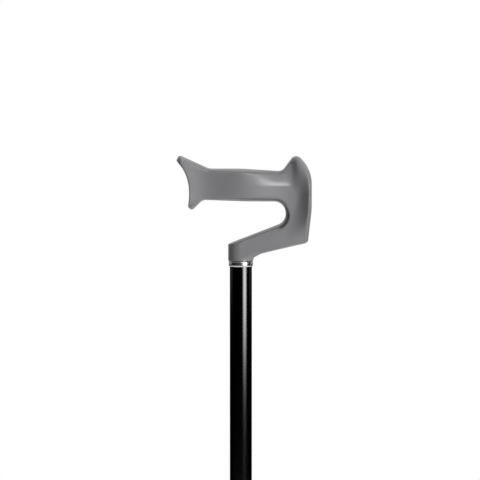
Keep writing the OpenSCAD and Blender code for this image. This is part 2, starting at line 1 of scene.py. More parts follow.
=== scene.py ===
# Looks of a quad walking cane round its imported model: a moulded grip with a hand guard, a chrome ring,
# a telescopic shaft with its lock nut, and a turning base on four rubber feet.
# Lengths are in millimetres until a mesh is made. Z is up and the hand's heel is towards -X.
import json
from math import acos, cos, pi, radians, sin, sqrt, tan
from types import SimpleNamespace
import bmesh
import bpy
import numpy as np
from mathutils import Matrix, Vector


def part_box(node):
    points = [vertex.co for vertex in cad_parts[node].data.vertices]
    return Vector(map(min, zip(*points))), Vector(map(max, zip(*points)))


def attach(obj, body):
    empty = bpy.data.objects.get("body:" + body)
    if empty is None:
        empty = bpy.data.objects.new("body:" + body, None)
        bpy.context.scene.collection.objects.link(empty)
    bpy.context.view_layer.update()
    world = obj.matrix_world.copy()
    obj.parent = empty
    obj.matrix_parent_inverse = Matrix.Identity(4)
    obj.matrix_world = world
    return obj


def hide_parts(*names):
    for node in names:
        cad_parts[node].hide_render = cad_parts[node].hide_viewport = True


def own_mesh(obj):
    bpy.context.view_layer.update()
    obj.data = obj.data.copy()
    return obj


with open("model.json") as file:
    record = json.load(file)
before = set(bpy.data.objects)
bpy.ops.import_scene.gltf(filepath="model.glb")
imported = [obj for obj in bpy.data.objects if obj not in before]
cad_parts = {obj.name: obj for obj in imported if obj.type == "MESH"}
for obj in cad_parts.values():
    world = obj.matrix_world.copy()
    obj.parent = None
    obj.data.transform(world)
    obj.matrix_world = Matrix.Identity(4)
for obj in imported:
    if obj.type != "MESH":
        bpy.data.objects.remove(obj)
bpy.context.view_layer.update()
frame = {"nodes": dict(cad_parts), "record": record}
cadNodes = frame["nodes"]
slotOf = {part["node"]: part["material_slot"] for part in frame["record"]["subparts"]}
bodyOf = {node: body for body, nodes in frame["record"]["behaviour"]["bodies"].items() for node in nodes}
print("frame loaded:", len(cadNodes), "nodes")


def view(settings):  # settings read as attributes
    return SimpleNamespace(**settings)


def boxOf(node):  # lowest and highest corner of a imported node
    low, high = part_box(node)
    return np.array(low) * 1000, np.array(high) * 1000


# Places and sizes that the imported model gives
upperLow, upperHigh = boxOf("upper_tube")
lowerLow, lowerHigh = boxOf("lower_tube")
axisX, axisY = (upperLow[:2] + upperHigh[:2]) / 2  # the shaft's axis
upperRadius = (upperHigh[0] - upperLow[0]) / 2
lowerRadius = (lowerHigh[0] - lowerLow[0]) / 2
handleFoot = boxOf("handle_grip")[0][2]  # height of the collar's lower face
buttonLow, buttonHigh = boxOf("snap_button")
buttonHeight = (buttonLow[2] + buttonHigh[2]) / 2


# A socket of a node tree. Sums of wires and numbers add Math nodes
class Wire:
    def __init__(self, nodes, socket):
        self.nodes = nodes
        self.socket = socket

    def out(self, name):  # another output of the same node
        return Wire(self.nodes, self.socket.node.outputs[name])

    def maths(self, operation, *values):
        return self.nodes.add("ShaderNodeMath", {"operation": operation}, dict(enumerate(values)))

    def __abs__(self):
        return self.maths("ABSOLUTE", self)


operations = {"add": "ADD", "sub": "SUBTRACT", "mul": "MULTIPLY", "truediv": "DIVIDE", "pow": "POWER"}
for key, operation in operations.items():
    setattr(Wire, f"__{key}__", lambda a, b, operation=operation: a.maths(operation, a, b))
    setattr(Wire, f"__r{key}__", lambda a, b, operation=operation: a.maths(operation, b, a))


# The nodes of a material or of the world
class Nodes:
    def __init__(self, tree):
        self.tree = tree

    # Adds a node: its settings first, then the values or wires of its inputs. Gives one output
    def add(self, kind, settings, inputs, output=0):
        node = self.tree.nodes.new(kind)
        for key, value in settings.items():
            setattr(node, key, value)
        for key, value in inputs.items():
            self.feed(node.inputs[key], value)
        return Wire(self, node.outputs[output])

    def feed(self, socket, value):
        if isinstance(value, Wire):
            self.tree.links.new(value.socket, socket)
        else:
            socket.default_value = value

    def step(self, value, low, high):  # 0 at low and 1 at high, smooth between them
        settings = {"interpolation_type": "SMOOTHSTEP"}
        return self.add("ShaderNodeMapRange", settings, {"Value": value, "From Min": low, "From Max": high})

    def fade(self, length, reach):  # a step of a length in metres, with its two ends in millimetres
        return self.step(length, reach[0] / 1000, reach[1] / 1000)

    def mixed(self, factor, a, b):  # colour between a and b
        return self.add("ShaderNodeMix", {"data_type": "RGBA"}, {0: factor, 6: a, 7: b}, 2)

    def greys(self, factor, low, high, blue=0.0):  # grey between two levels
        return self.mixed(factor, grey(low, blue), grey(high, blue))

    def seenRay(self):  # 1 for what the camera sees, straight on, in a mirror or through glass
        ray = self.add("ShaderNodeLightPath", {}, {}, "Is Camera Ray")
        indirect = ray.maths("MAXIMUM", ray.out("Is Glossy Ray"), ray.out("Is Transmission Ray"))
        return ray.maths("MAXIMUM", ray, indirect)


# A material of one Principled shader. Constants go straight to the shader's own sockets
class Finish(Nodes):
    def __init__(self, name, **shader):
        self.material = bpy.data.materials.new(name)
        self.material.use_nodes = True
        Nodes.__init__(self, self.material.node_tree)
        self.shader = self.tree.nodes["Principled BSDF"]
        self.give(**shader)
        self.place = self.add("ShaderNodeTexCoord", {}, {}, "Object")

    def give(self, **sockets):
        for key, value in sockets.items():
            self.feed(self.shader.inputs[key.replace("_", " ")], value)
        return self

    def parted(self):  # the place's three coordinates, in metres
        split = self.add("ShaderNodeSeparateXYZ", {}, {"Vector": self.place})
        return split, split.out("Y"), split.out("Z")

    def dotted(self, direction):  # distance along a direction
        inputs = {0: self.place, 1: direction}
        return self.add("ShaderNodeVectorMath", {"operation": "DOT_PRODUCT"}, inputs, "Value")

    def noise(self, name, stretch=(1, 1, 1)):  # one of the patterns
        scale, detail, rough = patterns[name]
        stretched = self.add("ShaderNodeMapping", {}, {"Vector": self.place, "Scale": stretch})
        inputs = {"Vector": stretched, "Scale": scale, "Detail": detail, "Roughness": rough}
        return self.add("ShaderNodeTexNoise", {}, inputs)

    def skinned(self, colour, rough, relief, name):  # a colour, a roughness and one of the bumps
        depth, strength = bumps[name]
        normal = self.add("ShaderNodeBump", {}, {"Height": relief, "Distance": depth, "Strength": strength})
        return self.give(Base_Color=colour, Roughness=rough, Normal=normal)


def grey(value, blue=0.0):
    return (value, value, value * (1 + blue), 1)


# aim is the point looked at, from the shaft's axis and the collar's foot; clip is in metres
camera = {
    "lens": 200, "sensor": 36, "distance": 2670, "elevation": 5.0, "aim": (-0.87, 21.05), "clip": (0.1, 40),
}


def onto(obj, towards):  # turns an object so that it looks from its place to a point
    direction = towards - np.array(obj.location)
    obj.rotation_euler = Vector(direction).to_track_quat("-Z", "Y").to_euler()


def placed(name, data):  # a new object in the scene
    obj = bpy.data.objects.new(name, data)
    bpy.context.scene.collection.objects.link(obj)
    return obj


def makeCamera():
    data = bpy.data.cameras.new("camera")
    data.lens = camera["lens"]
    data.sensor_width = camera["sensor"]
    data.clip_start, data.clip_end = camera["clip"]
    obj = placed("camera", data)
    tilt = radians(camera["elevation"])
    aim = np.array([axisX + camera["aim"][0], axisY, handleFoot + camera["aim"][1]]) / 1000
    back = np.array([0, -cos(tilt), sin(tilt)])
    obj.location = aim + back * camera["distance"] / 1000
    onto(obj, aim)
    bpy.context.scene.camera = obj


makeCamera()


# Radius of a turned profile's end at its axis, and the reach in which points and edges are merged
axisDot, weld, sliver = 0.001, 0.002, 0.0001


def joined(*parts):  # points from their coordinates
    return np.stack(np.broadcast_arrays(*parts), -1)


# Quads of a grid of rows by columns; a closed way joins its last line to its first
def gridFaces(rows, columns, closedRows, closedColumns):
    r, c = np.meshgrid(
        np.arange(rows - (not closedRows)), np.arange(columns - (not closedColumns)), indexing="ij")
    r2, c2 = (r + 1) % rows, (c + 1) % columns
    corners = [r * columns + c, r * columns + c2, r2 * columns + c2, r2 * columns + c]
    return np.stack(corners, axis=-1).reshape(-1, 4)


# Several grids, each (points, closedRows, closedColumns), become one mesh. Points that coincide are
# merged, which closes poles and seams, and the faces of a closed shell are turned outwards
def meshOf(name, grids, shell=True):
    points, faces, count = [], [], 0
    for grid, closedRows, closedColumns in grids:
        rows, columns = grid.shape[:2]
        faces.append(gridFaces(rows, columns, closedRows, closedColumns) + count)
        points.append(grid.reshape(-1, 3))
        count += rows * columns
    mesh = bpy.data.meshes.new(name)
    mesh.from_pydata(np.concatenate(points) / 1000, [], np.concatenate(faces), shade_flat=False)
    tidied(mesh, shell)
    return mesh


def tidied(mesh, shell):
    work = bmesh.new()
    work.from_mesh(mesh)
    bmesh.ops.remove_doubles(work, verts=work.verts, dist=weld / 1000)
    bmesh.ops.dissolve_degenerate(work, edges=work.edges, dist=sliver / 1000)
    if shell:
        bmesh.ops.recalc_face_normals(work, faces=work.faces)
    work.to_mesh(mesh)
    work.free()


# Makes the object of a finished mesh. It rides where its node does and takes the node's finish
def addMesh(name, mesh, node, sharpAngle):
    mesh.polygons.foreach_set("use_smooth", np.ones(len(mesh.polygons), dtype=bool))
    mesh.set_sharp_from_angle(angle=radians(sharpAngle))
    obj = placed(name, mesh)
    mesh.materials.clear()
    mesh.materials.append(finishes[slotOf[node]].material)
    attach(obj, bodyOf[node])
    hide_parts(node)
    return obj


def addPiece(name, grids, node, sharpAngle, shell=True):
    return addMesh(name, meshOf(name, grids, shell), node, sharpAngle)


def modified(obj, kind, **settings):
    added = obj.modifiers.new(kind.lower(), kind)
    for key, value in settings.items():
        setattr(added, key, value)


# Turns a profile of (radius, height) round an axis. A third number from 0 to 1 makes a row of the
# profile hexagonal, with its radius at the corners. shape is a function of angle, height and radius
def turned(profile, origin, steps, axis="Z", shape=None):
    profile = np.array([tuple(row) + (0,) * (3 - len(row)) for row in profile], float)
    angle = np.linspace(0, 2 * pi, steps, endpoint=False)[None, :]
    radius, height, hexed = profile[:, :1], profile[:, 1:2], profile[:, 2:]
    side = cos(pi / 6) / np.cos(angle % (pi / 3) - pi / 6)
    radius = radius * (1 + hexed * (side - 1))
    if shape:
        radius = shape(angle, height, radius)
    ring = joined(radius * np.cos(angle), radius * np.sin(angle), height)
    return np.roll(ring, "ZXY".index(axis), axis=-1) + np.array(origin)


# Rounds the corners of a line of points, each (coordinates..., radius); its ends stay where they are.
# An arc's points swing evenly about its centre from one leg's tangent point to the other's
def rounded(corners, steps):
    corners = [np.array(corner, float) for corner in corners]
    points = [corners[0][None, :-1]]
    k = np.linspace(0, 1, steps + 1)[:, None]
    for before, at, after in zip(corners, corners[1:], corners[2:]):
        p, radius = at[:-1], at[-1]
        u, w = before[:-1] - p, after[:-1] - p
        u, w = u / np.linalg.norm(u), w / np.linalg.norm(w)
        half = acos(np.clip(u @ w, -1, 1)) / 2
        centre = p + (u + w) / np.linalg.norm(u + w) * radius / sin(half)
        start = p + (u * radius / tan(half)) - centre
        end = p + (w * radius / tan(half)) - centre
        swing = pi - 2 * half
        points.append(centre + (np.sin((1 - k) * swing) * start + np.sin(k * swing) * end) / sin(swing))
    points.append(corners[-1][None, :-1])
    return np.concatenate(points)


def unit(vectors):
    return vectors / np.linalg.norm(vectors, axis=-1, keepdims=True)


# Carries a circle along a path, in the plane of two unit vectors that are square to the path's direction,
# the first of them also square to the guide
def swept(path, radius, steps, guide):
    along = unit(np.gradient(path, axis=0))
    across = unit(np.cross(along, guide))
    upright = np.cross(along, across)
    angle = np.linspace(0, 2 * pi, steps, endpoint=False)[None, :, None]
    return path[:, None] + radius * (across[:, None] * np.cos(angle) + upright[:, None] * np.sin(angle))


def reachOf(points):  # distance along a line of points to each of them
    return np.concatenate([[0], np.cumsum(np.linalg.norm(np.diff(points, axis=0), axis=1))])


def pointsAt(points, at, reach):  # points of a line at distances along it, given all its distances
    return joined(*[np.interp(at, reach, line) for line in points.T])


# Points spread evenly along a line of points
def spread(points, count):
    reach = reachOf(points)
    return pointsAt(points, np.linspace(0, reach[-1], count), reach)


def ease(t):
    t = np.clip(t, 0, 1)
    return t * t * (3 - 2 * t)


def blend(a, b, t):
    return a + (b - a) * t


# painted shade in the finger gap: centre and radius give the arc of the gap's inner end, lineStart and
# lineSlope the arm's upper line
gripPaintedShade = {
    "centre": (33.3, 47.2), "radius": 11.5, "reach": (2.6, 5.4), "turn": -30.0, "spread": (0.6, 0.93),
    "strength": 0.86, "lineStart": (-12.7, 16.8), "lineSlope": 21.4, "over": (-8, -4),
    "depth": (0.9, 2.3), "fadeIn": (4, 14), "fadeOut": (50, 56), "lineStrength": 0.5,
}


# How much painted shade, standing in for the shadow in the finger gap, darkens the grip's colour: round the
# gap's inner end, by the distance from that arc and the nearness to its deepest direction, and on the arm's
# top, by the depth under its line
def paintedGapShade(made, g):
    x, z = made.parted()[::2]
    aside = x * 1000 - (axisX + g.centre[0])
    above = z * 1000 - (handleFoot + g.centre[1])
    away = (aside * aside + above * above) ** 0.5
    turn, slope = radians(g.turn), radians(g.lineSlope)
    nearness = (aside * cos(turn) + above * sin(turn)) / away
    arc = made.step(nearness, *g.spread) * (1 - made.step(away - g.radius, *g.reach))
    along = x * 1000 - (axisX + g.lineStart[0])
    under = (along * tan(slope) + handleFoot + g.lineStart[1] - z * 1000) * cos(slope)
    arm = made.step(under, *g.over) * (1 - made.step(under, *g.depth))
    arm = arm * made.step(along, *g.fadeIn) * (1 - made.step(along, *g.fadeOut))
    return arc.maths("MAXIMUM", g.strength * arc, g.lineStrength * arm)


# Noise patterns: scale in waves a metre, detail and roughness
patterns = {
    "gripGrain": (2600, 2, 0.6), "gripCloud": (28, 3, 0.55), "haze": (900, 2, 0.5),
    "drawnLines": (420, 3, 0.6), "speck": (1500, 2, 0.5), "peel": (700, 2, 0.4),
    "coatGrain": (3200, 1, 0.5), "mouldGrain": (2200, 2, 0.6), "mouldCloud": (60, 2, 0.5),
    "steelLines": (1600, 3, 0.6), "steelCloud": (130, 2, 0.5), "bloom": (240, 3, 0.6),
    "pores": (1900, 2, 0.6),
}
# Bumps: depth in metres and strength
bumps = {
    "grip": (0.00002, 0.5), "chrome": (0.000002, 0.3), "tube": (0.000004, 0.4), "coat": (0.00006, 0.5),
    "mould": (0.00003, 0.5), "steel": (0.00001, 0.4), "rubber": (0.00005, 0.6),
}


# Satin moulded grip: spark-eroded grain and faint clouding, with painted shade in the finger gap
def gripFinish():
    made = Finish("gripPlastic", Specular_IOR_Level=0.5)
    grain, cloud = made.noise("gripGrain"), made.noise("gripCloud")
    colour = made.greys(made.step(cloud, 0.3, 0.7), 0.205, 0.222, 0.045)
    # painted shade: the grip's colour is mixed towards black in the finger gap and along the arm's top
    colour = made.mixed(paintedGapShade(made, view(gripPaintedShade)), colour, grey(0.0))
    return made.skinned(colour, 0.25 + 0.04 * cloud + 0.03 * grain, grain, "grip")


# Bright plating with fine polishing haze
def chromeFinish():
    made = Finish("ringChrome", Metallic=1.0)
    haze = made.noise("haze", (1, 1, 6))
    return made.skinned(made.greys(haze, 0.58, 0.64), 0.22 + 0.04 * haze, haze, "chrome")


# Black anodised tube: faint drawing lines along it under a satin skin that stays dark at its edges
def tubeFinish():
    made = Finish("tubeBlack", Metallic=1.0, Specular_Tint=grey(0.0))
    lines, speck = made.noise("drawnLines", (1, 1, 0.02)), made.noise("speck")
    return made.skinned(made.greys(lines, 0.07, 0.083), 0.11 + 0.03 * lines + 0.02 * speck, speck, "tube")


# Powder coat: soft orange peel with a fine grain
def coatFinish(name, tone, rough):
    made = Finish(name, Specular_IOR_Level=0.45)
    peel, grain = made.noise("peel"), made.noise("coatGrain")
    colour = made.greys(peel, tone * 0.8, tone * 1.25)
    return made.skinned(colour, rough - 0.05 + 0.1 * peel, peel + 0.35 * grain, "coat")


# Moulded plastic with a light spark grain
def mouldedFinish(name, tone, rough):
    made = Finish(name, Specular_IOR_Level=0.5)
    grain, cloud = made.noise("mouldGrain"), made.noise("mouldCloud")
    return made.skinned(made.greys(cloud, tone * 0.85, tone * 1.2), rough + 0.08 * cloud, grain, "mould")


# Plated or turned steel: fine lines and a little unevenness
def steelFinish(name, tone, rough, stretch):
    made = Finish(name, Metallic=1.0)
    lines, cloud = made.noise("steelLines", stretch), made.noise("steelCloud")
    colour = made.greys(cloud, tone * 0.88, tone)
    return made.skinned(colour, rough + 0.1 * lines + 0.05 * cloud, lines, "steel")


# Rubber: matt, a little bloomed, and scuffed lighter near the floor
def rubberFinish():
    made = Finish("footRubber", Specular_IOR_Level=0.35)
    height = made.parted()[2]
    bloom, pores = made.noise("bloom"), made.noise("pores")
    scuff = made.step(bloom, 0.45, 0.75) * (1 - made.fade(height, (1, 12)))
    colour = made.mixed(scuff, made.greys(bloom, 0.014, 0.022), grey(0.075))
    return made.skinned(colour, 0.6 + 0.15 * bloom, pores + 0.5 * bloom, "rubber")


finishes = {
    "grip_plastic": gripFinish(),
    "ring_chrome": chromeFinish(),
    "tube_black": tubeFinish(),
    "nut_plastic": mouldedFinish("nutPlastic", 0.012, 0.42),
    "disc_plastic": mouldedFinish("discPlastic", 0.6, 0.5),
    "hub_black": coatFinish("hubCoat", 0.012, 0.42),
    "bow_black": coatFinish("bowCoat", 0.01, 0.34),
    "core_metal": steelFinish("coreMetal", 0.6, 0.4, (1, 1, 1)),
    "pin_steel": steelFinish("pinSteel", 0.6, 0.3, (1, 1, 0.1)),
    "spring_steel": steelFinish("springSteel", 0.62, 0.2, (1, 0.2, 1)),
    "screw_steel": steelFinish("screwZinc", 0.55, 0.28, (1, 1, 1)),
    "foot_rubber": rubberFinish(),
}
for node, obj in cadNodes.items():
    for held in obj.material_slots:
        held.material = finishes[slotOf[node]].material
print("materials made:", len(finishes))


handle = {
    "collarRadius": 12.7, "collarHeight": 16.8, "armSlope": 21.4,
    "underSlope": 13.0, "underHeight": 6.0, "elbow": 7.8,
    "gapEnd": 44.8, "gapRadius": 11.5, "gripFloor": 60.0, "gripHeight": 32.0,
    "guardX": 70.9, "guardTop": 105.2, "guardHalf": 24.0, "guardEndHalf": 12.0, "guardArc": 36.3,
    "guardTurn": 46.9, "guardBend": 28.3, "guardMid": 62.0, "guardReach": 42.5, "guardFlare": 12.0,
    "guardRim": 4.0, "rimSoftness": 2.2, "lobeSpread": 0.8, "lobeFoot": 69.0, "heelSpread": 0.3,
    "heelIn": 3.8, "heelDrop": 8.0, "heelHeight": 30.0, "heelPower": 1.3, "tailLowX": 52.8,
    "tailHighX": 64.4, "tailTop": 105.0, "tailFloor": 51.8, "tailBow": 6.3, "bowStart": 0.83,
    "bowRun": 0.17, "bowSkew": (0.8, 0.4), "tailEdge": (1.5, 3.0), "squareStart": 0.8, "squareRun": 0.06,
    "waistHalf": 12.6, "bellyHalf": 18.2, "throatHalf": 13.8, "tailHalf": 16.5, "armHalf": 13.4,
    "waistX": -35.0, "bellyX": 3.0, "throatX": 48.0, "fairing": 14.0, "armTop": 38.0, "armBlend": 24.0,
    "ridgeHeight": 76.0, "ridgeSlope": 8.0, "ridgeCurve": 0.02, "ridgeRise": 38.0, "ridgeEnd": 62.0,
    "ridgeFall": 12.0, "collarStretch": 5.0, "collarEdge": 0.4, "footGap": 0.45, "footReach": 3.0,
    "bore": 11.2, "boreDepth": 11.0, "boreEdge": (0.25, 0.3), "capStart": 0.1, "capSteps": 14,
    "rows": 560, "columns": 60, "railSteps": 30, "tableSteps": 2000, "softness": 0.035,
    # where a station along the handle, from 0 to 1, meets the inner and the outer rail
    "innerTies": [
        (0, 0), (0.07, 0.087), (0.09, 0.093), (0.24, 0.36), (0.34, 0.4), (0.42, 0.44), (0.48, 0.465),
        (0.57, 0.5), (0.63, 0.515), (0.68, 0.535), (0.85, 0.884), (0.93, 0.962), (1, 1)],
    "outerTies": [
        (0, 0), (0.07, 0.03), (0.09, 0.036), (0.24, 0.15), (0.34, 0.22), (0.42, 0.33), (0.48, 0.406),
        (0.57, 0.513), (0.63, 0.56), (0.68, 0.62), (0.85, 0.872), (0.93, 0.972), (1, 1)],
    # radius that rounds the section towards each rail
    "innerRound": [
        (0, 0.05), (0.08, 0.6), (0.14, 1.5), (0.26, 2.5), (0.42, 3.5), (0.55, 5), (0.68, 6), (0.87, 5),
        (1, 5)],
    "outerRound": [
        (0, 0.05), (0.08, 2), (0.26, 3), (0.34, 3), (0.4, 4), (0.57, 4.5), (0.61, 5), (0.7, 4), (0.87, 3),
        (1, 3)],
}


# The two rails of the side view, from corners as (x, height, radius). The inner one runs up the collar,
# along the arm, round the finger gap and under the grip; the outer one under the arm and over the grip
def handleRails(h):
    collar, floor, guard = h.collarRadius, h.gripFloor, h.guardX
    top, tail = floor + h.gripHeight, h.tailTop
    armRise = (h.gapEnd + collar) * tan(radians(h.armSlope))
    heel = guard - h.heelIn
    slope = tan(radians(h.underSlope))
    guardKnee = h.guardTop - h.guardBend + h.guardArc * tan(radians(h.guardTurn / 2))
    inner = [
        (-collar, 0, 0),
        (-collar, h.collarHeight, 0.8),
        (h.gapEnd, h.collarHeight + armRise, h.gapRadius),
        (h.gapEnd, floor - 0.3, h.gapRadius),
        (6, floor, 200),
        (14.6 - h.tailLowX, floor + 1.4, 9),
        (3.6 - h.tailLowX, h.tailFloor - 1.2, 2.6),
        (-h.tailLowX, h.tailFloor + 2.5, 0)]
    outer = [
        (collar, 0, 0),
        (collar, h.underHeight - 2.6, 3),
        (collar + h.elbow, h.underHeight + h.elbow * slope, 25),
        (heel, h.underHeight + (heel - collar) * slope, 4.6),
        (guard, floor - h.heelDrop, 80),
        (guard, guardKnee, h.guardArc),
        (guard - 16.5, h.guardTop + 2.9, 6),
        (guard - 29.7, top - 1.9, 8),
        (0, top + 0.5, 260),
        (-31.6, top + 0.6, 14),
        (2.6 - h.tailHighX, tail + 1.2, 2.4),
        (-h.tailHighX, tail - 4, 0)]
    return rounded(inner, h.railSteps), rounded(outer, h.railSteps)


# Half thickness of the handle at points (x, z) of its side view: eased steps between the arm, the waist,
# the belly and the throat, and a flare that grows with the square of the nearness to the guard's face
def flank(h, x, z):
    waist = blend(h.waistHalf, h.tailHalf, ease((h.waistX - x) / (h.tailHighX + h.waistX)))
    belly = blend(h.waistHalf, h.bellyHalf, ease((x - h.waistX) / (h.bellyX - h.waistX)))
    throat = ease((x - h.bellyX) / (h.throatX - h.bellyX))
    grip = np.where(x < h.waistX, waist, blend(belly, h.throatHalf, throat))
    # the collar's round plan stretches towards the arm with height, so that one runs into the other
    stretch = 1 + h.collarStretch * ease(z / h.fairing) ** 2 * (x > 0)
    collar = h.collarRadius * np.sqrt(np.maximum(1 - (x / h.collarRadius / stretch) ** 2, 0))
    arm = blend(h.collarRadius, h.armHalf, ease(x / h.throatX))
    arm = np.where(x < 0, collar, blend(collar, arm, ease(z / h.fairing)))
    # above a faint ridge the grip's side leans in, from the palm swell to the guard
    above = np.maximum(z - h.ridgeHeight, 0) * ease(x / h.ridgeRise)
    above = above * ease((h.ridgeEnd - x) / h.ridgeFall)
    grip = grip - above * tan(radians(h.ridgeSlope)) - h.ridgeCurve * above ** 2
    body = blend(arm, grip, ease((z - h.armTop) / h.armBlend))
    bend = h.guardTop - h.guardBend
    arc = h.guardX - h.guardArc + np.sqrt(np.maximum(h.guardArc ** 2 - (z - bend) ** 2, 0))
    low = np.maximum(h.gripFloor - h.heelDrop - z, 0) / h.heelHeight
    face = np.where(z > bend, arc, h.guardX - h.heelIn * low ** h.heelPower)
    narrowed = (h.guardHalf - h.guardEndHalf) * ((z - h.guardMid) / h.guardReach) ** 2
    rim = h.guardHalf - narrowed
    away = face - x - h.guardRim
    away = (away + np.sqrt(away ** 2 + h.rimSoftness ** 2)) / 2  # a small fillet where the rim ends
    # the flare is widest at the guard's top, and widens again a little towards its heel
    flare = h.guardFlare + h.lobeSpread * np.maximum(z - h.lobeFoot, 0)
    flare = flare + h.heelSpread * np.maximum(h.guardMid - z, 0)
    near = np.maximum(1 - away / flare, 0)
    return blend(body, np.maximum(rim, body), near ** 2)


def roundOff(d, r):  # quarter ellipse that falls from 1 at distance r to 0 at the edge
    return np.sqrt(np.maximum(1 - np.maximum(1 - d / r, 0) ** 2, 0))


# One of the tables over the stations, linear between its entries and softened by a moving average
def tableAt(h, t, name):
    fine = np.linspace(0, 1, h.tableSteps + 1)
    values = np.interp(fine, *np.array(getattr(h, name), float).T)
    reach = int(h.softness * h.tableSteps / 2)
    kernel = np.hanning(2 * reach + 1)
    padded = np.pad(values, reach, mode="reflect", reflect_type="odd")
    return np.interp(t, fine, np.convolve(padded, kernel / kernel.sum(), mode="valid"))


def railAt(rail, fraction):  # point at a fraction of a rail's length
    reach = reachOf(rail)
    return pointsAt(rail, fraction, reach / reach[-1])


# Sections between the rails, from station 0 at the collar to 1 at the tail. s runs across a section from
# the inner rail to the outer one; y is the half thickness, rounded off towards both rails
def handleGrid(h):
    t = np.linspace(0, 1, h.rows)
    inner, outer = handleRails(h)
    a = railAt(inner, tableAt(h, t, "innerTies"))[:, None, :]
    b = railAt(outer, tableAt(h, t, "outerTies"))[:, None, :]
    span = np.linalg.norm(b - a, axis=-1, keepdims=True)
    side = np.concatenate([b[..., 1:] - a[..., 1:], a[..., :1] - b[..., :1]], -1) / span
    s = ((1 - np.cos(np.linspace(0, pi, h.columns))) / 2)[None, :, None]
    # towards the tail the sections bow outwards, by a skewed parabola
    bow = (h.tailBow * ease((t - h.bowStart) / h.bowRun))[:, None, None]
    level, skew = h.bowSkew
    p = a + (b - a) * s + side * bow * 4 * s * (1 - s) * (level + skew * s)
    # near the tail a point's distance from the outer rail is taken square to it
    along = np.gradient(b[:, 0], axis=0)
    square = abs((along[:, None] * side).sum(-1)) / np.linalg.norm(along, axis=1)[:, None]
    square = blend(1, square, ease((t - h.squareStart) / h.squareRun)[:, None])
    span, s, t = span[..., 0], s[..., 0], t[:, None]
    # the rim of the tail's end is rounded, more so at the upper tip
    inset = np.linalg.norm(p - p[-1:], axis=-1)
    edge = h.tailEdge[0] + h.tailEdge[1] * s ** 6
    y = flank(h, p[..., 0], p[..., 1]) - edge * (1 - roundOff(inset, edge))
    y = y * roundOff(s * span, tableAt(h, t, "innerRound"))
    y = y * roundOff((1 - s) * span * square, tableAt(h, t, "outerRound"))
    half = joined(p[..., 0], y, p[..., 1])
    return np.concatenate([half, half[:, -2:0:-1] * [1, -1, 1]], axis=1)


# The handle: the blind bore in the collar, the sections, and a cap that closes the tail as a cosine
def makeHandle(h):
    rings = handleGrid(h)
    cap = [rings[-1] * [1, k, 1] for k in np.cos(np.linspace(h.capStart, pi / 2, h.capSteps))]
    turn = np.arctan2(rings[0][:, 1], rings[0][:, 0])
    circle = joined(np.cos(turn), np.sin(turn), 0)
    bore, edge, (edgeOut, edgeUp) = h.bore, h.collarEdge, h.boreEdge
    radii = (axisDot, bore, bore, bore + edgeOut, h.collarRadius - edge)
    mouth = np.array([circle * r for r in radii])
    mouth[..., 2] = np.array([h.boreDepth, h.boreDepth, edgeUp, 0, 0])[:, None]
    # the collar's lower edge is broken by a small radius
    low = np.clip(rings[..., 2] / edge, 0, 1)
    shrink = 1 - edge * (1 - np.sqrt(1 - (1 - low) ** 2)) / h.collarRadius
    rings = rings * joined(shrink, shrink, 1)
    grid = np.concatenate([mouth, rings, np.array(cap)])
    # the collar's foot stands off the ring by a narrow gap
    grid[..., 2] += h.footGap * (1 - np.clip(grid[..., 2] / h.footReach, 0, 1))
    grid += [axisX, axisY, handleFoot]
    addPiece("handleGrip", [(grid, False, True)], "handle_grip", 50)


makeHandle(view(handle))
print("handle made")

ring = {
    "upperEdge": 0.4, "lowerEdge": 1.8, "lowerInset": 0.45, "foot": 1.2, "lift": 0.3, "crown": 0.03,
    "bore": 0.05, "topEdge": 0.2, "footEdge": 0.1,
}


# The ring's outside is a shallow crown between two rounded edges: a small quarter round above, and below
# a larger one that is drawn in by only a part of its height
def makeRing(r):
    low, high = boxOf("collar_ring")
    outer, tall = (high[0] - low[0]) / 2, high[2] - low[2] - r.foot + r.lift
    bore = upperRadius + r.bore
    k = np.linspace(0, pi / 2, 9)
    big, small = r.lowerEdge, r.upperEdge
    drawnIn = big * r.lowerInset * (1 - np.sin(k))
    lower = joined(outer - r.crown - drawnIn, big * (1 - np.cos(k)))
    upper = joined(outer - r.crown - small * (1 - np.cos(k)), tall - small * (1 - np.sin(k)))
    face = np.linspace(0, 1, 13)[1:-1]
    crown = joined(outer - r.crown * (2 * face - 1) ** 2, blend(big, tall - small, face))
    edge, foot = r.topEdge, r.footEdge
    inside = [(bore + edge, tall), (bore, tall - edge), (bore, foot), (lower[0, 0] - foot, 0)]
    profile = np.concatenate([lower, crown, upper, inside]) + [0, low[2] + r.foot]
    addPiece("collarRing", [(turned(profile, (axisX, axisY, 0), 192), True, True)], "collar_ring", 40)


makeRing(view(ring))
print("ring made")

shaft = {
    "upperWall": 1.2, "lowerWall": 1.2, "holeCount": 7, "holePitch": 25, "firstHole": 36, "holeRadius": 4.2,
    "lowerHoleRadius": 4.0, "cell": 1.7, "cellSteps": 10, "fan": 6, "roundSteps": 84, "edge": 0.22,
    "edgeAngle": 50,
}


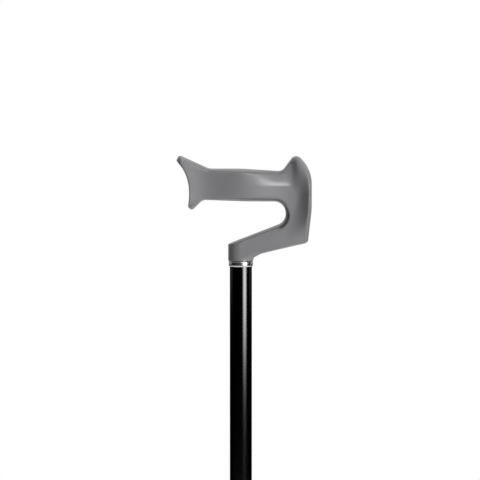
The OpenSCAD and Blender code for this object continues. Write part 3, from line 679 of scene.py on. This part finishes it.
# A tube's wall with round holes down its +Y side, worked out flat (distance round the tube, height) and
# then rolled up. Each hole sits in a square cell, whose rings pass evenly from the square to the circle
def drilledTube(name, node, wall, radius, holes, holeRadius, s):
    low, high = boxOf(node)
    cell, n = holeRadius * s.cell, s.cellSteps
    k = np.linspace(0, 1, n + 1)
    edges = np.concatenate([[low[2]], np.ravel([(z - cell, z + cell) for z in holes]), [high[2]]])
    heights = [blend(a, b, k) for a, b in zip(edges, edges[1:])]
    window = np.linspace(-cell, cell, n + 1)
    flat = [joined(*np.meshgrid(window, z)) for z in heights[::2]]
    back = np.linspace(cell, 2 * pi * radius - cell, s.roundSteps + 1)
    rows = np.concatenate([z[:-1] for z in heights] + [[high[2]]])
    flat.append(joined(*np.meshgrid(back, rows)))
    corner = np.array([(1, -1), (1, 1), (-1, 1), (-1, -1), (1, -1)], float) * cell
    square = np.concatenate([blend(a, b, k[:-1, None]) for a, b in zip(corner, corner[1:])])
    circle = unit(square)
    middle = (holeRadius + cell) / 2
    outward = blend(square[None], circle[None] * middle, np.linspace(0, 1, s.fan)[:, None, None])
    inward = circle[None] * np.linspace(middle, holeRadius, s.fan)[1:, None, None]
    fan = np.concatenate([outward, inward])
    flat = [(grid, False) for grid in flat] + [(fan + [0, z], True) for z in holes]
    grids = []
    for grid, closed in flat:
        angle = pi / 2 + grid[..., 0] / radius
        rolled = joined(axisX + radius * np.cos(angle), axisY + radius * np.sin(angle), grid[..., 1])
        grids.append((rolled, False, closed))
    obj = addPiece(name, grids, node, 60, shell=False)
    modified(obj, "SOLIDIFY", thickness=wall / 1000, offset=-1, use_even_offset=True)
    angle = radians(s.edgeAngle)
    modified(obj, "BEVEL", width=s.edge / 1000, segments=2, limit_method="ANGLE", angle_limit=angle)
    modified(obj, "WEIGHTED_NORMAL", keep_sharp=True)


def makeTubes(s):
    holes = upperLow[2] + s.firstHole + s.holePitch * np.arange(s.holeCount)
    drilledTube("upperTube", "upper_tube", s.upperWall, upperRadius, holes, s.holeRadius, s)
    lowerHole = s.lowerHoleRadius
    drilledTube("lowerTube", "lower_tube", s.lowerWall, lowerRadius, [buttonHeight], lowerHole, s)


makeTubes(view(shaft))
print("tubes made")

button = {
    "radius": 3.9, "dome": 1.5, "flange": 1.1, "flangeThick": 1.2, "edge": 0.2, "fillet": 0.3,
    "straight": 0.4,
}


# The button is turned, from the flange inside the tube to its domed end
def makeButton(b):
    back, tip, edge, fillet, radius = buttonLow[1], buttonHigh[1], b.edge, b.fillet, b.radius
    k = np.linspace(0, pi / 2, 13)
    dome = joined(radius * np.cos(k), tip - b.dome + b.dome * np.sin(k))
    dome[-1, 0] = axisDot
    wide, front = radius + b.flange, back + b.flangeThick
    foot = [
        (axisDot, back), (wide - edge, back), (wide, back + edge), (wide, front - edge),
        (wide - edge, front), (radius + fillet, front), (radius, front + fillet),
        (radius, tip - b.dome - b.straight)]
    profile = np.concatenate([foot, dome])
    grid = turned(profile, (axisX, 0, buttonHeight), 72, "Y")
    addPiece("snapButton", [(grid, False, True)], "snap_button", 40)


makeButton(view(button))

spring = {
    "thick": 0.5, "corner": 0.15, "rows": 90, "bendSteps": 24, "around": 24, "endInset": 0.94,
    "travel": 4.0,
}


# The spring is a strip bent to a U, which gives when the button is pressed; it is drawn at rest
def makeSpring(s):
    low, high = boxOf("snap_spring")
    front, back, half = high[1] - s.thick / 2, low[1] + s.thick / 2, (high[0] - low[0]) / 2
    bend = (front - back) / 2
    knee = low[2] + s.thick / 2
    line = [
        (front, high[2], 0), (front, knee, bend * 0.999), (back, knee, bend * 0.999),
        (back, 2 * buttonHeight - high[2], 0)]
    path = spread(rounded(line, s.bendSteps), s.rows)
    along = unit(np.gradient(path, axis=0))
    # the strip's section is a rectangle with rounded corners, drawn in and closed at both ends
    turn = np.linspace(0, 2 * pi, s.around, endpoint=False) + pi / s.around
    wide = np.sign(np.cos(turn)) * (half - s.corner) + s.corner * np.cos(turn)
    deep = np.sign(np.sin(turn)) * (s.thick / 2 - s.corner) + s.corner * np.sin(turn)
    ends = [axisDot, s.endInset]
    inset = np.concatenate([ends, np.ones(s.rows - 2), ends[::-1]])[:, None]
    rows = [0, *range(s.rows), -1]
    path, along = path[rows], along[rows]
    across = inset * deep
    y, z = path[:, :1] + across * along[:, 1:], path[:, 1:] - across * along[:, :1]
    grid = joined(axisX + inset * wide, y, z)
    obj = addPiece("snapSpring", [(grid, False, True)], "snap_spring", 40)
    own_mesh(obj)


makeSpring(view(spring))
print("button and spring made")

sleeve = {
    "wall": 1.9, "grip": 22.0, "fingers": 22.0, "cone": 9.0, "fingerWall": 1.6, "lip": 4.0, "lipOut": 1.0,
    "pitch": 3.0, "thread": 0.7, "threadPower": 0.7, "fit": 0.05, "root": 3.0, "edge": 0.4, "lipEdge": 0.8,
    "tipEdge": 0.3, "around": 120, "fingerFrom": 16, "fingerTo": 45,
}


# The collet sleeve: a lipped collar whose thread is a groove that climbs one pitch a turn, and four
# fingers below it, which narrow towards their tips. The fingers are quarter turns with closed ends
def makeSleeve(s):
    foot = upperLow[2]
    outer = upperRadius + s.wall
    bore, innerBore = upperRadius + s.fit, lowerRadius + s.fit
    tip = innerBore + s.fingerWall
    base, lipFoot, top = foot - s.fingers, foot + s.grip - s.lip, foot + s.grip

    # a half wave of the phase along the thread, faded out at the cone and under the lip
    def thread(angle, height, radius):
        phase = (height / s.pitch - angle / (2 * pi)) % 1
        depth = s.thread * np.maximum(np.cos(2 * pi * phase), 0) ** s.threadPower
        inside = ease((height - base - s.cone) / 2) * ease((lipFoot - 1 - height) / 1.5)
        return radius - depth * inside * (radius > outer - 0.05)

    root, wide = foot - s.root, outer + s.lipOut
    edge, lipEdge, tipEdge, around = s.edge, s.lipEdge, s.tipEdge, s.around
    body = [(outer, z) for z in np.linspace(root, lipFoot - edge, 110)]
    body += [(outer + 0.1, lipFoot), (wide - edge, lipFoot), (wide, lipFoot + edge), (wide, top - lipEdge)]
    body += [(wide - 0.25, top - 0.25), (wide - lipEdge, top), (bore + edge, top), (bore, top - edge)]
    body += [(bore, foot), (innerBore, foot), (innerBore, root)]
    grids = [(turned(body, (axisX, axisY, 0), around, shape=thread), True, True)]
    finger = [(tip, base)]
    for k in (0, *np.linspace(0.1, 1, 8)):
        finger.append((blend(tip + tipEdge, outer, k), base + tipEdge + (s.cone - tipEdge) * k))
    finger += [(outer, z) for z in np.linspace(base + s.cone + edge, root, 50)]
    finger += [(innerBore, root), (innerBore, base)]
    whole = turned(finger, (0, 0, 0), around, shape=thread)
    for quarter in range(4):
        # the columns of this quarter turn, less half a slot at each end, where the section is closed
        columns = np.arange(s.fingerFrom, s.fingerTo) + around // 4 * quarter
        part = whole[:, columns % around]
        middle = part.mean(axis=0)[None]
        first, last = blend(part[:, :1], middle[:, :1], 0.999), blend(part[:, -1:], middle[:, -1:], 0.999)
        part = np.concatenate([first, part, last], axis=1)
        grids.append((part + [axisX, axisY, 0], True, False))
    addPiece("colletSleeve", grids, "collet_sleeve", 40)


makeSleeve(view(sleeve))

nut = {
    "floor": 2.4, "gap": 0.3, "flutes": 20, "fluteRadius": 1.5, "fluteOut": 0.5, "fluteInset": 3.4,
    "fluteEnd": 1.6, "edge": 1.8, "bore": 0.4, "chamfer": 0.5, "rows": 110, "around": 480,
}


# The lock nut: rounded at both ends, with flutes that are arcs of a circle set a little outside the wall
# and end in a quarter round before the nut does. Its bore follows the sleeve's wall and cone
def makeNut(n):
    low, high = boxOf("lock_nut")
    outer, tall = (high[0] - low[0]) / 2, high[2] - low[2]
    inner = upperRadius + sleeve["wall"] + sleeve["fit"]
    tip = lowerRadius + sleeve["fit"] + sleeve["fingerWall"] + n.gap

    def fluted(angle, height, radius):
        pitch = 2 * pi / n.flutes
        aside = outer * ((angle + pitch / 2) % pitch - pitch / 2)
        depth = np.sqrt(np.maximum(n.fluteRadius ** 2 - aside ** 2, 0)) - n.fluteOut
        fromEnd = np.minimum(height - low[2], high[2] - height) - n.fluteInset
        depth = np.maximum(depth, 0) * roundOff(np.maximum(fromEnd, 0), n.fluteEnd)
        return radius - depth * (radius > inner + 0.8)

    k = np.linspace(0, pi / 2, 9)
    e, c, floor = n.edge, n.chamfer, n.floor
    foot = joined(outer - e + e * np.sin(k), e - e * np.cos(k))
    wall = joined(outer, np.linspace(e + 0.2, tall - e - 0.2, n.rows))
    head = joined(outer - e + e * np.cos(k), tall - e + e * np.sin(k))
    bore = lowerRadius + n.bore
    inside = [
        (inner + c, tall), (inner, tall - c), (inner, floor + sleeve["cone"]), (tip, floor),
        (bore, floor - 0.1), (bore, c), (bore + c, 0)]
    profile = np.concatenate([foot, wall, head, inside]) + [0, low[2]]
    grid = turned(profile, (axisX, axisY, 0), n.around, shape=fluted)
    addPiece("lockNut", [(grid, True, True)], "lock_nut", 35)


makeNut(view(nut))
print("sleeve and lock nut made")

hub = {"cell": 0.5, "softening": 9, "pull": 0.5}


# The hub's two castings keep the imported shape, in small even cells whose smoothing rounds every edge
def makeHub(h):
    for name, node in (("hubBody", "hub"), ("hubCover", "hub_cover")):
        mesh = cadNodes[node].data.copy()
        mesh.name = name
        tidied(mesh, True)
        obj = addMesh(name, mesh, node, 180)
        modified(obj, "REMESH", mode="VOXEL", voxel_size=h.cell / 1000, use_smooth_shade=True)
        modified(obj, "SMOOTH", factor=h.pull, iterations=h.softening)


makeHub(view(hub))
print("hub made")

bolts = {
    "diameter": 5.0, "headRadius": 4.25, "headHeight": 3.2, "socketDepth": 1.8, "clampHead": 5.0,
    "clampDepth": 2.5, "nutAcross": 8.0, "nutThick": 4.0, "nutEdge": 0.3, "nutCorner": 0.5,
    "screwX": 22.5, "screwY": 13.0, "knurls": 36, "knurlDepth": 0.16, "around": 144, "nutSteps": 72,
}


# A socket screw, from the bottom of its hexagon out over the knurled head and down the shank
def screwProfile(b, head, depth, length):
    r, wide = b.diameter / 2, b.headRadius
    return [
        (axisDot, head - depth, 1), (r * 0.98, head - depth, 1), (r, head - depth + 0.1, 1),
        (r, head - 0.35, 1), (r + 0.3, head, 0.3), (wide - 0.7, head, 0), (wide - 0.2, head - 0.25, 0),
        (wide, head - 0.7, 0), (wide, head - 0.9, 0), (wide, 0.5, 0), (wide - 0.25, 0.1, 0),
        (wide - 0.4, 0, 0), (r, 0, 0), (r, 0.5 - length, 0), (r - 0.5, -length, 0), (axisDot, -length, 0)]


# A hexagon nut, whose ends are turned round to the width across its flats
def nutProfile(b):
    bore, flat, t = b.diameter / 2 + 0.05, b.nutAcross / 2, b.nutThick
    corner, edge, cut = b.nutAcross / sqrt(3), b.nutEdge, b.nutCorner
    return [
        (bore + edge, 0, 0), (bore, edge, 0), (bore, t - edge, 0), (bore + edge, t, 0),
        (flat - 0.1, t, 0), (corner, t - cut, 1), (corner, cut, 1), (flat - 0.1, 0, 0)]


# The hub's screws with their nuts, and the clamp screw with its nut
def makeBolts(b):
    # a cosine of the angle, on the head's full radius only
    def knurled(angle, height, radius):
        teeth = 0.5 + 0.5 * np.cos(b.knurls * angle)
        return radius - b.knurlDepth * teeth * (np.abs(radius - b.headRadius) < 0.001)

    low, high = boxOf("hub_screws")
    seat = high[2] - b.headHeight
    nutFoot = boxOf("hub_nuts")[0][2]
    places = [(axisX + x * b.screwX, axisY + y * b.screwY) for x in (-1, 1) for y in (-1, 1)]
    screw = screwProfile(b, b.headHeight, b.socketDepth, seat - low[2])
    screws = [(turned(screw, (x, y, seat), b.around, shape=knurled), False, True) for x, y in places]
    addPiece("hubScrews", screws, "hub_screws", 30)
    nuts = [(turned(nutProfile(b), (x, y, nutFoot), b.nutSteps), True, True) for x, y in places]
    addPiece("hubNuts", nuts, "hub_nuts", 30)
    # the clamp screw lies along Y, with its head on the -Y side and its nut on the other
    low, high = boxOf("clamp_screw")
    x, z = (low[0] + high[0]) / 2, (low[2] + high[2]) / 2
    seat = low[1] + b.clampHead
    clamp = screwProfile(b, b.clampHead, b.clampDepth, high[1] - seat)
    clamp = turned([(r, -h, w) for r, h, w in clamp], (x, seat, z), b.around, "Y", knurled)
    addPiece("clampScrew", [(clamp, False, True)], "clamp_screw", 30)
    clampNut = turned(nutProfile(b), (x, boxOf("clamp_nut")[0][1], z), b.nutSteps, "Y")
    addPiece("clampNut", [(clampNut, True, True)], "clamp_nut", 30)


makeBolts(view(bolts))
print("screws and nuts made")

bows = {
    "radius": 7.0, "wall": 1.5, "bend": 28.0, "drop": 18.0, "straight": 33.0, "offset": 13.0,
    "outerTurn": 62.0, "innerTurn": 40.0, "footHeight": 8.0, "footX": 88.0, "steps": 48, "points": 260,
    "bendSteps": 40,
}


# A bow is one bent tube. Its middle line has four corners of one bend radius: out of the hub, down a
# sloping leg, and straight down into each foot. side is -1 for the outer bow and 1 for the inner one
def makeBow(name, node, turn, side, b):
    turn, drop = radians(turn), radians(b.drop)
    height = boxOf(node)[1][2] - b.radius
    first = acos(cos(turn) * cos(drop))
    hip = b.straight + b.bend * tan(first / 2)
    reach = (b.footX - hip) / cos(turn)
    footY, kneeZ = b.offset + reach * sin(turn), height - reach * tan(drop)
    half = np.array([
        (hip, b.offset, height, b.bend), (b.footX, footY, kneeZ, b.bend),
        (b.footX, footY, b.footHeight, 0)])
    corners = np.concatenate([half[::-1] * [-1, 1, 1, 1], half]) * [1, side, 1, 1]
    path = spread(rounded(corners, b.bendSteps), b.points) + [axisX, axisY, 0]
    outside = swept(path, b.radius, b.steps, (0, 1, 0))
    bore = swept(path, b.radius - b.wall, b.steps, (0, 1, 0))
    addPiece(name, [(np.concatenate([outside, bore[::-1]]), True, True)], node, 40)


makeBow("outerBow", "outer_bow", bows["outerTurn"], -1, view(bows))
makeBow("innerBow", "inner_bow", bows["innerTurn"], 1, view(bows))
print("bows made")

ferrule = {
    "sole": 15.0, "neck": 10.0, "bore": 7.05, "height": 34.0, "soleThick": 6.5, "treadDepth": 1.5,
    "treads": (4.2, 8.6), "treadHalf": 1.1, "treadEdge": 0.3, "soleTop": 4.2, "soleEdge": 1.2,
    "waistFoot": 6.0, "waistOut": (3.9, 0.5), "waistFall": 4.2, "waistTaper": (24.0, 18.0),
    "ribs": (17.0, 27.5), "ribPitch": 3.0, "ribOut": 0.45, "ribFade": 0.8, "ribPower": 0.6,
    "lip": (1.4, 1.7), "lipIn": 0.6, "notches": 28, "notchDepth": 0.55, "notchFade": 0.6, "around": 168,
}


# Rubber foot, turned: tread rings under a wide sole, a waist that falls away exponentially to the neck,
# soft ribs from a wave of the height, and a rolled lip. The sole's side is notched by a wave of the angle
def makeFerrule(name, node, f):
    low, high = boxOf(node)
    x, y = (low[:2] + high[:2]) / 2
    bottom, edge = [(axisDot, 0)], f.treadEdge
    for tread in f.treads:
        a, c, d = tread - f.treadHalf, tread + f.treadHalf, f.treadDepth
        bottom += [(a - edge, 0), (a, edge), (a + 0.1, d), (c - 0.1, d), (c, edge), (c + edge, 0)]
    k = np.linspace(0, pi / 2, 7)
    sole, soleTop, corner, tall, bore = f.sole, f.soleTop, f.soleEdge, f.height, f.bore
    rim = joined(sole - 1 + np.sin(k), 1 - np.cos(k))
    side = joined(sole, np.linspace(1.2, soleTop, 7))
    shoulder = joined(sole - corner + corner * np.cos(k), 4.4 + 1.4 * np.sin(k))
    z = np.linspace(f.waistFoot, tall - 3.6, 90)
    (sweep, taper), (taperTop, taperRun) = f.waistOut, f.waistTaper
    waist = f.neck + sweep * np.exp(-(z - f.waistFoot) / f.waistFall)
    waist += taper * ease((taperTop - z) / taperRun)
    ribFoot, ribTop = f.ribs
    inRibs = ease((z - ribFoot) / f.ribFade) * ease((ribTop - z) / f.ribFade)
    wave = 0.5 - 0.5 * np.cos(2 * pi * (z - ribFoot) / f.ribPitch)
    waist += f.ribOut * inRibs * wave ** f.ribPower
    k = np.linspace(-pi / 2, pi / 2, 13)
    lipOut, lipHalf = f.lip
    lip = joined(f.neck - f.lipIn + lipOut * np.cos(k), tall - lipHalf + lipHalf * np.sin(k))
    inside = [(bore + 0.4, tall), (bore, tall - 0.4), (bore, f.soleThick), (axisDot, f.soleThick)]
    profile = np.concatenate([bottom, rim, side, shoulder, joined(waist, z), lip, inside])

    def notched(angle, height, radius):
        wave = np.clip(1.6 * np.cos(f.notches * angle) - 0.6, 0, 1)
        inside = ease((height - 1.0) / f.notchFade) * ease((soleTop - height) / f.notchFade)
        return radius - f.notchDepth * ease(wave) * inside * (radius > sole - 0.6)

    grid = turned(profile, (x, y, low[2]), f.around, shape=notched)
    addPiece(name, [(grid, False, True)], node, 34)


for side in ("outer", "inner"):
    for end in ("front", "rear"):
        makeFerrule(side + end.capitalize() + "Foot", "ferrule_" + side + "_" + end, view(ferrule))
print("feet made")

studio = {
    "floorRadius": 2600, "floorFade": (350, 1500), "floorTone": 0.86, "floorGlow": 0.42, "fill": 0.03,
    "wallRadius": 2000, "wallHeight": 1600, "wallRows": 12, "wallBehind": (100, 800), "wallBack": 0.45,
    "wallFoot": (470, 520), "wallFade": (1000, 1600), "around": 96, "lampAim": 620,
}
# a surface that only gives light
unlit = {"Base_Color": grey(0.0), "Specular_IOR_Level": 0.0, "Roughness": 1.0}
keyCard = {
    "azimuth": 41, "distance": 1500, "width": 1300, "low": 230, "high": 780, "strength": 9.0,
    "fadeUp": (340, 560), "fadeTop": (650, 770), "fadeAside": (130, 740),
}
lamps = {
    # name: azimuth from the camera to the right, height, distance, width, height of the box, strength
    "highBox": (15, 1330, 1600, 650, 450, 13.2),
    "softRight": (50, 900, 1600, 900, 900, 6.6),
    "softFront": (5, 900, 1700, 900, 900, 0.9),
    "softBack": (175, 1000, 1700, 1200, 1000, 4.4),
    "softLeft": (-138, 900, 1700, 900, 900, 2.6),
}


# An area lamp. Its strength is the radiance of its face, so its power grows with the face's area
def makeLamp(name, azimuth, height, distance, width, tall, strength):
    data = bpy.data.lights.new(name, "AREA")
    data.shape = "RECTANGLE"
    data.size, data.size_y = width / 1000, tall / 1000
    data.energy = strength * pi * data.size * data.size_y
    obj = placed(name, data)
    turn = radians(azimuth)
    obj.location = np.array([distance * sin(turn), -distance * cos(turn), height]) / 1000
    onto(obj, np.array([axisX, axisY, studio["lampAim"]]) / 1000)
    obj.visible_camera = False
    obj.visible_glossy = not name.startswith("soft")


# A floor, wall or card of the studio, which isn't part of the object
def addStage(name, grid, closed, finish):
    mesh = meshOf(name, [(grid, False, closed)])
    mesh.materials.append(finish.material)
    obj = placed(name, mesh)
    return obj


# A floor that takes shadows near the object and is plain light further out, for rays that are seen
def makeFloor(s, circle):
    disc = np.array([circle * r for r in (axisDot, s.floorRadius / 2, s.floorRadius)])
    pale = Finish("floorPale", Roughness=0.9, Specular_IOR_Level=0.0, Emission_Strength=1.0)
    x, y = pale.parted()[:2]
    far = pale.fade((x * x + y * y) ** 0.5, s.floorFade)
    glow = s.floorGlow + (1 - s.floorGlow) * far
    pale.give(
        Base_Color=pale.greys(far, s.floorTone, 0.0),
        Emission_Color=pale.greys(glow * pale.seenRay(), 0.0, 1.0))
    addStage("floor", disc, True, pale)


# A dark surround seen only in reflections. It lightens towards its top, and behind the object
def makeWall(s, circle):
    heights = np.linspace(2, s.wallHeight, s.wallRows)
    wall = np.array([circle * s.wallRadius + [0, 0, z] for z in heights])
    dark = Finish("wallDark", Emission_Strength=1.0, **unlit)
    y, z = dark.parted()[1:]
    behind = dark.fade(y, s.wallBehind) * s.wallBack * dark.fade(z, s.wallFoot)
    level = behind + (1 - behind) * dark.fade(z, s.wallFade)
    dark.give(Emission_Color=dark.greys(level, 0.0, 1.0))
    obj = addStage("wall", wall, True, dark)
    obj.visible_camera = obj.visible_diffuse = obj.visible_shadow = obj.visible_transmission = False


# The key light: an upright card whose light fades out towards its lower end and its two sides
def makeKey(k):
    turn = radians(k.azimuth)
    across = np.array([cos(turn), sin(turn), 0])
    middle = np.array([sin(turn), -cos(turn), 0]) * k.distance
    u, z = np.meshgrid(np.linspace(-0.5, 0.5, 7) * k.width, np.linspace(k.low, k.high, 7))
    card = middle + u[..., None] * across + z[..., None] * np.array([0, 0, 1])
    glow = Finish("keyGlow", Emission_Strength=k.strength, **unlit)
    aside = abs(glow.dotted(tuple(across)))
    z = glow.parted()[2]
    level = glow.fade(z, k.fadeUp) ** 2 * (1 - glow.fade(z, k.fadeTop))
    level = level * (1 - glow.fade(aside, k.fadeAside))
    glow.give(Emission_Color=glow.greys(level, 0.0, 1.0))
    obj = addStage("keyCard", card, False, glow)
    obj.visible_camera = obj.visible_diffuse = obj.visible_shadow = False


def makeStudio(s):
    scene = bpy.context.scene
    scene.view_settings.view_transform = "Standard"
    angle = np.linspace(0, 2 * pi, s.around, endpoint=False)
    circle = joined(np.cos(angle), np.sin(angle), 0)
    makeFloor(s, circle)
    makeWall(s, circle)
    makeKey(view(keyCard))
    world = bpy.data.worlds.new("studio")
    scene.world = world
    world.use_nodes = True
    sky = Nodes(world.node_tree)
    background = sky.tree.nodes["Background"]
    sky.feed(background.inputs["Color"], (1, 1, 1, 1))
    sky.feed(background.inputs["Strength"], s.fill + (1 - s.fill) * sky.seenRay())
    for name, values in lamps.items():
        makeLamp(name, *values)


makeStudio(view(studio))
print("studio made")
